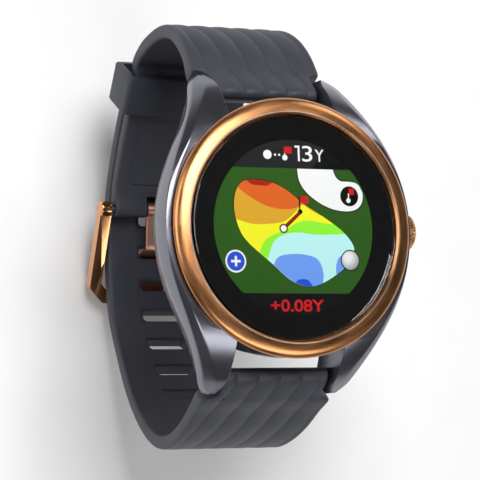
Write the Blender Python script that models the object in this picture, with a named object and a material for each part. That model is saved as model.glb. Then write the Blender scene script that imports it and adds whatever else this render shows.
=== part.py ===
"""Golf GPS watch on a closed silicone band.

Round case with four horned lugs, rose-gold bezel and a flat glass over a 1.2-inch display.
Origin: centre of the flat case back.  +Z leaves the dial, +Y points to 12 o'clock, +X to the crown.
The band hangs below the case as a closed loop, so the watch stands on its clasp.
All dimensions are millimetres and become metres through MM.
"""
import math

import bmesh
import bpy
from mathutils import Matrix, Vector

MM = 0.001

# ---------------------------------------------------------------- driving dimensions
BEZEL_R = 22.5            # widest radius of the bezel
BEZEL_TOP = 14.5          # height of the bezel's flat inner ring
BEZEL_INNER_R = 19.55     # wall around the glass
HEAD_R = 22.0             # round head of the case under the bezel
HEAD_TOP = 12.2
BORE_R = 17.65            # cavity that holds the works
POCKET_R = 19.9           # seat of the bezel's skirt
POCKET_Z = 11.05
CASE_FLOOR_Z = 1.8        # underside of the case, just above the back plate
FLANK_HALF_X = 23.45      # half the case's width at 3 and 9 o'clock
LUG_TIP_Y = 27.8
LUG_INNER_X = 10.35       # half the gap between a pair of lugs
GAP = 0.3                 # clearance between neighbouring pieces

BAR_Y = 25.4              # spring bars: distance from the case's centre, and height
BAR_Z = 2.0
BAR_TUBE_R = 0.75
BAR_HOLE_R = 1.0
PLUNGER_TIP_R = 0.4
PLUNGER_TRAVEL = 1.4

CROWN_Z = 8.4
CROWN_R = 3.1

STRAP_T = 2.5             # strap thickness away from the lugs
SLOT_LENGTH = 8.0         # adjustment slots in the lower strap
SLOT_WIDTH = 2.1
SLOT_PITCH = 6.5
SLOT_COUNT = 9
SLOTS_BEFORE_TIP = 3      # free slots between the tongue and the tail's tip
TONGUE_SLOT_Y = 1.7       # where the tongue passes through the strap

BUCKLE_Y = 10.0           # buckle bar
BUCKLE_Z = -42.2
BUCKLE_BAR_R = 0.6
FRAME_TILT = 26.0         # degrees the buckle frame stands off the strap
FRAME_LENGTH = 18.7       # bar to the outer edge of the crossbar
FRAME_HALF_X = 13.0
FRAME_ARM = 2.2
FRAME_T = 1.9

KEEPER_WIDTH = 7.5
KEEPER_WALL = 1.2
KEEPER_CENTRE = (33.0, -35.1)      # on the outer face of the strap's tail
KEEPER_SLOPE = 33.3                # degrees

TURN = 48                 # facets round a turned piece

# ---------------------------------------------------------------- finishes
FINISHES = {
    "slate_case": ((0.07, 0.07, 0.085), 0.42, 0.6),
    "rose_gold": ((0.62, 0.31, 0.14), 0.28, 1.0),
    "glass": ((0.02, 0.02, 0.022), 0.06, 0.0),
    "display": ((0.10, 0.30, 0.06), 0.35, 0.0),
    "black_plastic": ((0.03, 0.03, 0.033), 0.5, 0.0),
    "silicone": ((0.058, 0.06, 0.07), 0.55, 0.0),
    "seal_rubber": ((0.02, 0.02, 0.02), 0.7, 0.0),
    "steel": ((0.6, 0.6, 0.6), 0.3, 1.0),
    "gold_contact": ((0.75, 0.55, 0.2), 0.25, 1.0),
    "circuit_board": ((0.02, 0.16, 0.07), 0.5, 0.0),
    "battery_foil": ((0.55, 0.56, 0.58), 0.4, 0.6),
    "ceramic": ((0.55, 0.45, 0.33), 0.6, 0.0),
    "flex_film": ((0.65, 0.32, 0.05), 0.45, 0.0),
}


def make_finish(name):
    colour, roughness, metallic = FINISHES[name]
    finish = bpy.data.materials.new(name)
    finish.use_nodes = True
    shader = finish.node_tree.nodes["Principled BSDF"]
    shader.inputs["Base Color"].default_value = (*colour, 1.0)
    shader.inputs["Roughness"].default_value = roughness
    shader.inputs["Metallic"].default_value = metallic
    finish.diffuse_color = (*colour, 1.0)
    return finish


def clear_scene():
    for old in list(bpy.data.objects):
        bpy.data.objects.remove(old, do_unlink=True)


# ---------------------------------------------------------------- modelling helpers
def finish_object(name, bm, finish, origin=(0.0, 0.0, 0.0)):
    """Turn a bmesh drawn in millimetres into a named object with its origin at a given point."""
    bmesh.ops.remove_doubles(bm, verts=bm.verts, dist=1e-4)
    bmesh.ops.recalc_face_normals(bm, faces=bm.faces)
    bmesh.ops.translate(bm, verts=bm.verts, vec=-Vector(origin))
    bmesh.ops.scale(bm, verts=bm.verts, vec=(MM, MM, MM))
    mesh = bpy.data.meshes.new(name)
    bm.to_mesh(mesh)
    bm.free()
    mesh.shade_smooth()
    mesh.set_sharp_from_angle(angle=math.radians(28))
    piece = bpy.data.objects.new(name, mesh)
    piece.location = Vector(origin) * MM
    bpy.context.scene.collection.objects.link(piece)
    if finish is not None:
        mesh.materials.append(bpy.data.materials.get(finish) or make_finish(finish))
    return piece


def turned_bmesh(profile, axis="Z", centre=(0.0, 0.0, 0.0), segments=TURN):
    """Spin (radius, height) points round an axis; points at radius 0 close the solid."""
    along = Vector((1, 0, 0)) if axis == "X" else Vector((0, 0, 1))
    out = Vector((0, 0, 1)) if axis == "X" else Vector((1, 0, 0))
    middle = Vector(centre)
    bm = bmesh.new()
    points = [bm.verts.new(middle + out * r + along * h) for r, h in profile]
    pairs = list(zip(points, points[1:]))
    if profile[0][0] > 0:
        pairs.append((points[-1], points[0]))
    edges = [bm.edges.new(pair) for pair in pairs]
    bmesh.ops.spin(bm, geom=points + edges, cent=middle, axis=along, angle=math.tau,
                   steps=segments, use_merge=True)
    bmesh.ops.remove_doubles(bm, verts=bm.verts, dist=1e-4)
    return bm


def turned(name, profile, finish, axis="Z", centre=(0.0, 0.0, 0.0), segments=TURN):
    return finish_object(name, turned_bmesh(profile, axis, centre, segments), finish, centre)


def box_bmesh(low, high):
    bm = bmesh.new()
    size = Vector(high) - Vector(low)
    middle = (Vector(high) + Vector(low)) / 2
    place = Matrix.Translation(middle) @ Matrix.Diagonal((*size, 1.0))
    bmesh.ops.create_cube(bm, size=1.0, matrix=place)
    return bm


def box(name, low, high, finish, bevel=0.0):
    bm = box_bmesh(low, high)
    if bevel > 0:
        bmesh.ops.bevel(bm, geom=bm.edges, offset=bevel, segments=1, affect="EDGES")
    middle = (Vector(high) + Vector(low)) / 2
    return finish_object(name, bm, finish, middle)


def loft_bmesh(sections):
    """Skin sections that share one point count, and cap both ends."""
    bm = bmesh.new()
    rings = [[bm.verts.new(point) for point in section] for section in sections]
    count = len(rings[0])
    for ring, following in zip(rings, rings[1:]):
        for i in range(count):
            j = (i + 1) % count
            bm.faces.new((ring[i], ring[j], following[j], following[i]))
    bm.faces.new(rings[0])
    bm.faces.new(rings[-1])
    return bm


def plate_bmesh(outline, thickness, place):
    """Extrude a flat outline (drawn in X and Y) upwards and put it in place with a matrix."""
    bm = bmesh.new()
    face = bm.faces.new([bm.verts.new((x, y, -thickness / 2)) for x, y in outline])
    raised = bmesh.ops.extrude_face_region(bm, geom=[face])
    top = [item for item in raised["geom"] if isinstance(item, bmesh.types.BMVert)]
    bmesh.ops.translate(bm, verts=top, vec=(0, 0, thickness))
    bmesh.ops.transform(bm, matrix=place, verts=bm.verts)
    return bm


def combine(piece, cutter_bm, operation, label):
    """Apply a solid to a piece as a live Boolean; the cutter stays as a hidden guide."""
    cutter = finish_object(f"guide_{piece.name}_{label}", cutter_bm, None)
    cutter.hide_render = True
    cutter.display_type = "WIRE"
    modifier = piece.modifiers.new(label, "BOOLEAN")
    modifier.operation = operation
    modifier.object = cutter
    modifier.solver = "EXACT"


def cut(piece, cutter_bm, label):
    combine(piece, cutter_bm, "DIFFERENCE", label)


def join_bmeshes(*parts):
    """Gather separate closed shapes in one bmesh, for a cutter with several tools."""
    joined = bmesh.new()
    for part in parts:
        mesh = bpy.data.meshes.new("part")
        part.to_mesh(mesh)
        part.free()
        joined.from_mesh(mesh)
        bpy.data.meshes.remove(mesh)
    return joined


def rod_bmesh(radius, x0, x1, y, z, segments=20):
    """A closed round bar along X."""
    return turned_bmesh([(0, x0), (radius, x0), (radius, x1), (0, x1)], "X", (0, y, z), segments)


def catmull(points, steps):
    """A smooth curve through every point, with the given number of steps per stretch."""
    padded = [points[0], *points, points[-1]]
    curve = []
    for a, b, c, d in zip(padded, padded[1:], padded[2:], padded[3:]):
        for k in range(steps):
            t = k / steps
            curve.append(0.5 * ((2 * b) + (c - a) * t + (2 * a - 5 * b + 4 * c - d) * t ** 2
                                + (3 * b - a - 3 * c + d) * t ** 3))
    curve.append(points[-1])
    return curve


# ---------------------------------------------------------------- case
def ease(y, start, span):
    """0 up to start, then a straight climb to 1 over the given span."""
    return min(1.0, max(0.0, (abs(y) - start) / span))


def flank_section(side, y):
    """Cross-section of one flank of the case with its lugs, at distance y from the centre."""
    tip_start_y = 25.6
    far = abs(y)
    tip = ease(y, tip_start_y, LUG_TIP_Y - tip_start_y)
    outer = FLANK_HALF_X - 0.0184 * far ** 2 + 6.9e-6 * far ** 4 - tip ** 2
    inner = LUG_INNER_X + 1.1 * tip ** 2
    strip_top = 12.1 - 9.2 * (far / 27.5) ** 3.4
    strip_low = strip_top - 4.0 + 1.8 * ease(y, 7, 11) + 1.3 * max(0.0, 1 - ((y - 19.5) / 5) ** 2)
    crease_z = min(12.25, strip_top + 0.4 + 0.7 * ease(y, 0, 12)) - 0.9 * tip
    crease_x = max(inner + 0.4, outer - 0.8 - ease(y, 10, 14) + 0.9 * tip)
    floor = CASE_FLOOR_Z - 2.7 * ease(y, 18, 6) + 1.4 * tip
    under_x = outer - 2.2 + 0.9 * tip
    section = [(inner, floor), (under_x, floor), (outer, max(strip_low, floor + 0.2)),
               (outer, strip_top), (crease_x, crease_z), (inner, min(12.1, crease_z + 0.8))]
    return [(side * x, y, z) for x, z in section]


def flank_bmesh(side):
    stations = [-27.8, -27.2, -26.5, -25.6, -24, -22, -20, -18, -15, -11.5, -8, -4]
    stations += [0.0] + [-y for y in reversed(stations)]
    return loft_bmesh([flank_section(side, y) for y in stations])


def lug_holes_bmesh():
    holes = [rod_bmesh(0.65, side * 10.0, side * 12.1, end * BAR_Y, BAR_Z, 12)
             for side in (-1, 1) for end in (-1, 1)]
    return join_bmeshes(*holes)


def screw_places():
    radius = 19.2
    return [(radius * math.cos(math.radians(a)), radius * math.sin(math.radians(a)))
            for a in (45, 135, 225, 315)]


def build_mid_case():
    head = [(BORE_R, CASE_FLOOR_Z), (20.7, CASE_FLOOR_Z), (21.2, 2.4), (21.2, 6.0), (HEAD_R, 7.2),
            (HEAD_R, HEAD_TOP), (POCKET_R, HEAD_TOP), (POCKET_R, POCKET_Z), (BORE_R, POCKET_Z)]
    case = turned("mid_case", head, "slate_case", segments=72)
    combine(case, flank_bmesh(-1), "UNION", "left_flank")
    combine(case, flank_bmesh(1), "UNION", "right_flank")
    hollow = [(0, -4.0), (BORE_R, -4.0), (BORE_R, POCKET_Z), (POCKET_R, POCKET_Z), (POCKET_R, 16.0),
              (0, 16.0)]
    cut(case, turned_bmesh(hollow, segments=72), "hollow")
    cut(case, lug_holes_bmesh(), "lug_holes")
    crown_seat = [(0, 16.0), (2.3, 16.0), (2.3, 22.4), (3.5, 22.4), (3.5, 26.0), (0, 26.0)]
    cut(case, turned_bmesh(crown_seat, "X", (0, 0, CROWN_Z), 32), "crown_seat")
    threads = [turned_bmesh([(0, 1.0), (0.75, 1.0), (0.75, 4.9), (0, 4.9)], "Z", (x, y, 0), 12)
               for x, y in screw_places()]
    cut(case, join_bmeshes(*threads), "screw_holes")


def build_bezel_and_glass():
    bezel = [(18.3, 11.5), (19.6, 11.5), (19.6, 12.5), (21.9, 12.5), (22.35, 12.75), (BEZEL_R, 13.1),
             (22.35, 13.55), (21.8, 14.0), (21.0, 14.35), (20.2, BEZEL_TOP), (19.8, BEZEL_TOP),
             (BEZEL_INNER_R, 14.3), (BEZEL_INNER_R, 12.3), (18.3, 12.3)]
    turned("bezel", bezel, "rose_gold", segments=72)
    turned("lens_gasket", [(18.5, 12.6), (19.3, 12.6), (19.3, 12.9), (18.5, 12.9)], "seal_rubber")
    lens = [(0, 13.2), (19.25, 13.2), (19.25, 14.15), (19.05, 14.35), (0, 14.35)]
    turned("lens", lens, "glass", segments=72)
    turned("display_panel", [(0, 11.5), (16.9, 11.5), (16.9, 12.9), (0, 12.9)], "display")
    frame = [(17.2, 11.35), (18.0, 11.35), (18.0, 12.9), (17.2, 12.9)]
    turned("display_frame", frame, "black_plastic")


# ---------------------------------------------------------------- works
def build_works():
    holder = [(15.6, 3.2), (17.3, 3.2), (17.3, 10.7), (11.2, 10.7), (11.2, 9.9), (15.6, 9.9)]
    frame = turned("inner_frame", holder, "black_plastic")
    cut(frame, box_bmesh((10.6, -2.8, 6.3), (18.5, 2.8, 11.5)), "crown_notch")
    turned("main_board", [(0, 6.6), (15.2, 6.6), (15.2, 7.4), (0, 7.4)], "circuit_board")
    box("battery", (-11.0, -9.5, 3.3), (11.0, 9.5, 6.2), "battery_foil", 0.6)
    box("gnss_module", (-9.5, -1.0, 7.7), (0.5, 7.5, 9.3), "steel", 0.15)
    box("patch_antenna", (-6.5, -13.0, 7.7), (5.5, -2.0, 9.6), "ceramic", 0.15)
    turned("vibration_motor", [(0, 7.7), (3.7, 7.7), (4.0, 8.0), (4.0, 9.3), (3.7, 9.6), (0, 9.6)],
           "steel", centre=(5.6, 6.8, 0), segments=32)
    build_display_flex()


def build_display_flex():
    """Thin film that folds up from the board to the display."""
    film = 0.25
    fold_y = 9.4
    low, high = 7.7, 11.2
    under = [(fold_y + 1.2, low), (fold_y - film, low), (fold_y - film, high - film),
             (fold_y - 3.4, high - film)]
    over = [(fold_y + 1.2, low + film), (fold_y, low + film), (fold_y, high), (fold_y - 3.4, high)]
    sections = [[(-4.8, *a), (-0.8, *a), (-0.8, *b), (-4.8, *b)] for a, b in zip(under, over)]
    finish_object("display_flex", loft_bmesh(sections), "flex_film", (-2.8, fold_y, low))


# ---------------------------------------------------------------- back
def contact_places():
    return [(x, -7.5) for x in (-3.75, -1.25, 1.25, 3.75)]


def build_back():
    plate = [(0, 0), (19.8, 0), (20.4, 0.6), (20.4, 1.5), (16.95, 1.5), (16.95, 2.7), (15.7, 2.7),
             (15.7, 1.4), (0, 1.4)]
    back = turned("case_back", plate, "slate_case", segments=60)
    tools = [turned_bmesh([(0, -1), (1.5, -1), (1.5, 0.95), (0.8, 0.95), (0.8, 2.0), (0, 2.0)],
                          "Z", (x, y, 0), 16) for x, y in screw_places()]
    tools += [turned_bmesh([(0, -1), (0.9, -1), (0.9, 2.0), (0, 2.0)], "Z", (x, y, 0), 12)
              for x, y in contact_places()]
    cut(back, join_bmeshes(*tools), "holes")
    turned("back_gasket", [(17.1, 1.9), (17.5, 1.9), (17.5, 2.6), (17.1, 2.6)], "seal_rubber")
    screw = [(0, 0.12), (1.05, 0.12), (1.2, 0.27), (1.2, 0.75), (0.5, 0.75), (0.5, 4.4), (0, 4.4)]
    for number, (x, y) in enumerate(screw_places(), 1):
        turned(f"case_screw_{number}", screw, "steel", centre=(x, y, 0), segments=16)
    contact = [(0, 0.08), (0.6, 0.08), (0.6, 2.3), (0, 2.3)]
    for number, (x, y) in enumerate(contact_places(), 1):
        turned(f"charge_contact_{number}", contact, "gold_contact", centre=(x, y, 0), segments=12)


# ---------------------------------------------------------------- crown
def build_crown():
    centre = (0, 0, CROWN_Z)
    tube = [(0.95, 18.2), (2.0, 18.2), (2.0, 22.3), (1.55, 22.3), (1.55, 20.6), (0.95, 20.6)]
    turned("crown_tube", tube, "steel", "X", centre, 24)
    ring = [(0.8, 20.9), (1.4, 20.9), (1.4, 21.7), (0.8, 21.7)]
    turned("crown_o_ring", ring, "seal_rubber", "X", centre, 24)
    stem = [(0, 15.6), (0.65, 15.6), (0.65, 24.1), (0, 24.1)]
    turned("crown_stem", stem, "steel", "X", centre, 16)
    wheel = [(0.8, 16.4), (1.9, 16.4), (1.9, 17.1), (0.8, 17.1)]
    turned("encoder_wheel", wheel, "black_plastic", "X", centre, 24)
    plunger = [(0, 14.6), (1.0, 14.6), (1.0, 15.3), (0, 15.3)]
    turned("crown_plunger", plunger, "black_plastic", "X", centre, 16)
    switch = box("push_switch", (10.9, -2.0, 7.7), (13.3, 2.0, 9.7), "black_plastic")
    combine(switch, rod_bmesh(0.7, 13.0, 13.9, 0, CROWN_Z + 0.2, 12), "UNION", "actuator")
    cap = turned_bmesh([(0, 23.1), (CROWN_R - 0.2, 23.1), (CROWN_R, 23.3), (CROWN_R, 24.9), (2.6, 25.3),
                        (0, 25.3)], "X", centre, 60)
    crown = finish_object("crown_cap", cap, "rose_gold", centre)
    cut(crown, rod_bmesh(0.95, 22.5, 24.4, 0, CROWN_Z, 16), "stem_bore")


# ---------------------------------------------------------------- band
# Each row: outer face (Y, Z), inner face (Y, Z), half width.  The nose round the spring bar comes first.
UPPER_ROWS = [
    ((23.35, 3.9), (23.35, 0.9), 9.85),
    ((23.7, 5.0), (23.9, -0.5), 9.85),
    ((24.6, 5.3), (25.0, -1.2), 9.85),
    ((26.5, 4.0), (26.2, -1.7), 9.85),
    ((28.95, 1.35), (27.1, -1.95), 9.85),
    ((29.35, 0.95), (27.45, -2.05), 12.4),
    ((33.2, -1.6), (31.4, -3.8), 12.3),
    ((36.6, -5.2), (34.6, -7.0), 12.1),
    ((38.9, -9.6), (36.7, -10.7), 11.8),
    ((40.0, -15.0), (37.5, -15.3), 11.5),
    ((39.7, -20.6), (37.2, -20.3), 11.2),
    ((38.6, -25.8), (36.2, -24.8), 10.9),
]
LOWER_ROWS = [
    ((-23.35, 3.9), (-23.35, 0.9), 9.85),
    ((-23.7, 5.0), (-23.9, -0.5), 9.85),
    ((-24.6, 5.3), (-25.0, -1.2), 9.85),
    ((-26.5, 4.0), (-25.8, -1.7), 9.85),
    ((-28.65, 0.8), (-26.3, -2.0), 9.85),
    ((-29.05, 0.25), (-26.65, -2.25), 12.4),
    ((-30.9, -3.6), (-28.6, -5.1), 12.3),
    ((-33.6, -8.6), (-31.3, -9.6), 12.1),
    ((-35.6, -14.0), (-33.2, -14.5), 11.8),
    ((-36.4, -19.4), (-33.9, -19.3), 11.5),
    ((-35.3, -25.6), (-33.0, -24.6), 11.2),
    ((-31.6, -31.8), (-29.7, -30.2), 11.0),
]
# Outer face of the tail, which lies outside the upper strap from the buckle to the keeper.
TAIL_FACE = [
    (-25.6, -37.6), (-18.6, -42.7), (-11.2, -46.1), (-4.5, -47.25), (2.5, -47.45), (9.5, -46.95),
    (15.5, -45.3), (20.3, -43.0), (24.6, -40.6), (28.1, -38.3), (31.6, -36.0), (35.0, -33.77),
]
TAIL_HALF_X = 10.3
OVERLAP_FROM = 6          # first point of TAIL_FACE that has the upper strap inside it


def strap_section(outer, inner, half_x):
    """Eight-sided section: flat faces with small chamfers along both edges."""
    (oy, oz), (iy, iz) = outer, inner
    chamfer = 0.45
    deep = Vector((iy - oy, iz - oz))
    step = deep.normalized() * chamfer
    high = (oy + step.x, oz + step.y)
    low = (iy - step.x, iz - step.y)
    right = [(half_x - chamfer, oy, oz), (half_x, *high), (half_x, *low), (half_x - chamfer, iy, iz)]
    left = [(-x, y, z) for x, y, z in reversed(right)]
    return right + left


def offset_row(points, index, depth_outer, depth_inner, half_x):
    """Row of a strap layer at two depths inside a face curve."""
    before = Vector(points[max(index - 1, 0)])
    after = Vector(points[min(index + 1, len(points) - 1)])
    along = (after - before).normalized()
    inward = Vector((-along.y, along.x))
    here = Vector(points[index])
    return (tuple(here + inward * depth_outer), tuple(here + inward * depth_inner), half_x)


def smooth_rows(rows, first, steps):
    """Round the rows after the nose into a smooth run of sections."""
    run = [Vector((*outer, *inner, half)) for outer, inner, half in rows[first:]]
    smooth = [((v[0], v[1]), (v[2], v[3]), v[4]) for v in catmull(run, steps)]
    return rows[:first] + smooth


def upper_rows():
    layer = STRAP_T + GAP
    count = len(TAIL_FACE)
    inside = [offset_row(TAIL_FACE, i, layer, layer + STRAP_T, TAIL_HALF_X)
              for i in range(OVERLAP_FROM, count)]
    bend = [((36.3, -29.85), (34.75, -27.85), 10.7)]
    end = [((11.6, -43.6), (11.5, -40.75), 10.2), ((9.7, -43.75), (9.7, -40.65), 10.2),
           ((8.5, -43.1), (8.5, -41.3), 10.2)]
    return UPPER_ROWS + bend + list(reversed(inside)) + end


def lower_rows():
    tail = [offset_row(TAIL_FACE, i, 0.0, STRAP_T, TAIL_HALF_X + 0.5 * (i == 0))
            for i in range(len(TAIL_FACE))]
    return LOWER_ROWS + tail


def face_points(rows):
    return [Vector((0, *outer)) for outer, inner, half in rows]


def point_along(curve, distance):
    """Point and direction at an arc length from the curve's start."""
    for a, b in zip(curve, curve[1:]):
        stretch = (b - a).length
        if distance <= stretch:
            return a + (b - a) * (distance / stretch), (b - a).normalized()
        distance -= stretch
    return curve[-1], (curve[-1] - curve[-2]).normalized()


def slots_bmesh(rows):
    """Adjustment slots at an even pitch, with one of them over the tongue."""
    face = face_points(rows)
    travelled = 0.0
    for a, b in zip(face, face[1:]):
        if b.y > TONGUE_SLOT_Y and b.z < -40:
            travelled += (b - a).length * (TONGUE_SLOT_Y - a.y) / (b.y - a.y)
            break
        travelled += (b - a).length
    tools = []
    for number in range(SLOT_COUNT):
        where = travelled + (SLOTS_BEFORE_TIP - number) * SLOT_PITCH
        place, along = point_along(face, where)
        up = Vector((0, -along.z, along.y))
        turn = Matrix((Vector((1, 0, 0)), along, up)).transposed().to_4x4()
        slot = box_bmesh((-SLOT_LENGTH / 2, -SLOT_WIDTH / 2, -1.5),
                         (SLOT_LENGTH / 2, SLOT_WIDTH / 2, STRAP_T + 1.5))
        bmesh.ops.transform(slot, matrix=Matrix.Translation(place) @ turn, verts=slot.verts)
        tools.append(slot)
    return join_bmeshes(*tools)


def cut_nose(strap, end):
    """Bore of the spring bar, and the window that its release lever moves in."""
    cut(strap, rod_bmesh(BAR_HOLE_R, -10.5, 10.5, end * BAR_Y, BAR_Z), "bar_bore")
    window = box_bmesh((3.0, end * BAR_Y - 0.8, BAR_Z - 5.0), (6.9, end * BAR_Y + 0.8, BAR_Z))
    cut(strap, window, "lever_window")


def build_straps():
    rows = smooth_rows(upper_rows(), 5, 3)
    upper = finish_object("strap_upper", loft_bmesh([strap_section(*row) for row in rows]), "silicone",
                          (0, BAR_Y, BAR_Z))
    cut_nose(upper, 1)
    cut(upper, rod_bmesh(0.85, -11.0, 11.0, BUCKLE_Y, BUCKLE_Z, 16), "buckle_bore")
    cut(upper, box_bmesh((-3.9, 7.0, -46.0), (3.9, 12.3, -39.0)), "tongue_notch")

    rows = smooth_rows(lower_rows(), 5, 3)
    lower = finish_object("strap_lower", loft_bmesh([strap_section(*row) for row in rows]), "silicone",
                          (0, -BAR_Y, BAR_Z))
    cut_nose(lower, -1)
    cut(lower, slots_bmesh(rows), "slots")


def build_spring_bar(name, end, drawn_in):
    """Spring bar in a strap's nose: a tube and two sprung plungers, one with the release lever."""
    y = end * BAR_Y
    tube = [(0.5, -8.0), (BAR_TUBE_R, -8.0), (BAR_TUBE_R, 2.6), (0.5, 2.6)]
    turned(f"{name}_tube", tube, "steel", "X", (0, y, BAR_Z), 16)
    left = [(0, -11.6 + drawn_in), (PLUNGER_TIP_R, -11.6 + drawn_in), (PLUNGER_TIP_R, -6.0 + drawn_in),
            (0, -6.0 + drawn_in)]
    turned(f"{name}_plunger", left, "steel", "X", (0, y, BAR_Z), 12)
    right = [(0, 4.4 - drawn_in), (BAR_TUBE_R, 4.4 - drawn_in), (BAR_TUBE_R, 9.6 - drawn_in),
             (PLUNGER_TIP_R, 9.6 - drawn_in), (PLUNGER_TIP_R, 11.6 - drawn_in), (0, 11.6 - drawn_in)]
    lever = turned(f"{name}_release_pin", right, "steel", "X", (0, y, BAR_Z), 16)
    peg = box_bmesh((4.9 - drawn_in, y - 0.45, BAR_Z - 4.0), (6.1 - drawn_in, y + 0.45, BAR_Z))
    combine(lever, peg, "UNION", "peg")


# ---------------------------------------------------------------- keeper and buckle
def build_keeper():
    """Loop that slides on both layers of the strap."""
    slope = Matrix.Rotation(math.radians(KEEPER_SLOPE), 4, "X")
    place = Matrix.Translation((0, *KEEPER_CENTRE)) @ slope
    clearance = GAP + 0.05
    half_x = TAIL_HALF_X + 0.4 + clearance
    stack = 2 * STRAP_T + GAP
    half_y = KEEPER_WIDTH / 2
    shell = box_bmesh((-half_x - KEEPER_WALL, -half_y, -clearance - KEEPER_WALL),
                      (half_x + KEEPER_WALL, half_y, stack + clearance + KEEPER_WALL))
    bmesh.ops.bevel(shell, geom=shell.edges, offset=0.35, segments=1, affect="EDGES")
    hollow = box_bmesh((-half_x, -half_y - 1, -clearance), (half_x, half_y + 1, stack + clearance))
    for part in (shell, hollow):
        bmesh.ops.transform(part, matrix=place, verts=part.verts)
    keeper = finish_object("keeper", shell, "silicone", (0, *KEEPER_CENTRE))
    cut(keeper, hollow, "hollow")


def build_buckle():
    pivot = (0, BUCKLE_Y, BUCKLE_Z)
    bar = [(0, -12.3), (BUCKLE_BAR_R, -12.3), (BUCKLE_BAR_R, 12.3), (0, 12.3)]
    turned("buckle_bar", bar, "steel", "X", pivot, 16)

    outer, inner, end = FRAME_HALF_X, FRAME_HALF_X - FRAME_ARM, FRAME_LENGTH
    corner = 3.0
    crossbar = end - 1.9
    outline = [(outer, 1.5), (outer, corner - end), (outer - corner, -end), (corner - outer, -end),
               (-outer, corner - end), (-outer, 1.5), (-inner, 1.5), (-inner, corner - 1.0 - crossbar),
               (corner - 1.0 - inner, -crossbar), (inner - corner + 1.0, -crossbar),
               (inner, corner - 1.0 - crossbar), (inner, 1.5)]
    place = Matrix.Translation(pivot) @ Matrix.Rotation(math.radians(FRAME_TILT), 4, "X")
    body = plate_bmesh(outline, FRAME_T, place)
    frame = finish_object("buckle_frame", body, "rose_gold", pivot)
    bores = [rod_bmesh(0.85, side * 10.0, side * 12.6, BUCKLE_Y, BUCKLE_Z, 16) for side in (-1, 1)]
    cut(frame, join_bmeshes(*bores), "bar_bores")

    # Tongue: knuckle on the bar, plate over the strap, bend through the slot, tip on the crossbar.
    path = [(8.95, -42.35), (8.0, -42.45), (5.6, -42.75), (3.0, -43.2), (2.25, -44.2), (1.3, -47.5),
            (0.3, -49.0), (-3.2, -50.5), (-7.6, -52.6)]
    half_x = 3.4
    thick = 0.8
    sections = []
    for i, (y, z) in enumerate(path):
        before = Vector(path[max(i - 1, 0)])
        after = Vector(path[min(i + 1, len(path) - 1)])
        along = (after - before).normalized()
        side = Vector((-along.y, along.x)) * thick / 2
        sections.append([(half_x, y + side.x, z + side.y), (half_x, y - side.x, z - side.y),
                         (-half_x, y - side.x, z - side.y), (-half_x, y + side.x, z + side.y)])
    knuckle = [(0.85, -3.5), (1.45, -3.5), (1.45, 3.5), (0.85, 3.5)]
    tongue = turned("buckle_tongue", knuckle, "rose_gold", "X", pivot, 24)
    combine(tongue, loft_bmesh(sections), "UNION", "plate")


def main():
    clear_scene()
    build_mid_case()
    build_bezel_and_glass()
    build_works()
    build_back()
    build_crown()
    build_straps()
    build_spring_bar("upper_bar", 1, 0.0)
    build_spring_bar("lower_bar", -1, PLUNGER_TRAVEL)
    build_keeper()
    build_buckle()


main()
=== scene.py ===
"""Looks of the golf GPS watch: brushed rose-gold bezel, slate horned case, lit map and ribbed silicone band.

Lengths are millimetres in the CAD model's frame (origin at the centre of the case back, +Z out of the dial,
+Y to 12 o'clock, +X to the crown) and become metres through MM.
"""
import math

import bpy
from mathutils import Matrix, Vector


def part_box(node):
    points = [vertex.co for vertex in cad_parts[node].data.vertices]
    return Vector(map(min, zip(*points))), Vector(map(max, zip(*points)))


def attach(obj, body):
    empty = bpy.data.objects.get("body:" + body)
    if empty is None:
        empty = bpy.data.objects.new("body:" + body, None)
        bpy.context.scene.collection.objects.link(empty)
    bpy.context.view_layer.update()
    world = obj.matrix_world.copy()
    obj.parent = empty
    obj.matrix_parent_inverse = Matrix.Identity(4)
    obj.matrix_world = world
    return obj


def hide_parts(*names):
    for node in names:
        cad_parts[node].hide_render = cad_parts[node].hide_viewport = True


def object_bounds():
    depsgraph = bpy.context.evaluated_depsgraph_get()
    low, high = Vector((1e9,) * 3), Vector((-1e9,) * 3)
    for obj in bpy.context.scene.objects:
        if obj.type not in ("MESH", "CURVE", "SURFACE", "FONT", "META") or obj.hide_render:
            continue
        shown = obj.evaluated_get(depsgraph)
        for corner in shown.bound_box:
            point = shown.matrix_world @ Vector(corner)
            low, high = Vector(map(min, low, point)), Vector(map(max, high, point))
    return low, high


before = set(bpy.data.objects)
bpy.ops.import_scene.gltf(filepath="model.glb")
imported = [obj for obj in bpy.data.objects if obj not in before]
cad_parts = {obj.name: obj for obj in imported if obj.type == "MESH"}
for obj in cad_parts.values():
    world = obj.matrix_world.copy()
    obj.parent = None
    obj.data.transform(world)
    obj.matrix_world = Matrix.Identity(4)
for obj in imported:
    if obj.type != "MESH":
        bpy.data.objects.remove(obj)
cad_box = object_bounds()

MM = 0.001


def box_mm(node):
    low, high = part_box(node)
    return low / MM, high / MM


def centre_mm(node):
    low, high = box_mm(node)
    return (low + high) / 2


# ---------------------------------------------------------------- measures read from the frame
FLOOR_Z = cad_box[0][2] / MM
BEZEL_LOW, BEZEL_HIGH = box_mm("bezel")
BEZEL_R = BEZEL_HIGH.x
BEZEL_TOP = BEZEL_HIGH.z
LENS_LOW, LENS_HIGH = box_mm("lens")
SCREEN_Z = box_mm("display_panel")[1].z
CROWN_LOW, CROWN_HIGH = box_mm("crown_cap")
CROWN_Z = centre_mm("crown_cap").z
CROWN_R = (CROWN_HIGH.z - CROWN_LOW.z) / 2
BAR = {1: centre_mm("upper_bar_tube"), -1: centre_mm("lower_bar_tube")}
PIVOT = centre_mm("buckle_bar")
FLANK_HALF_X = 23.45
LUG_TIP_Y = box_mm("mid_case")[1].y

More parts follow.
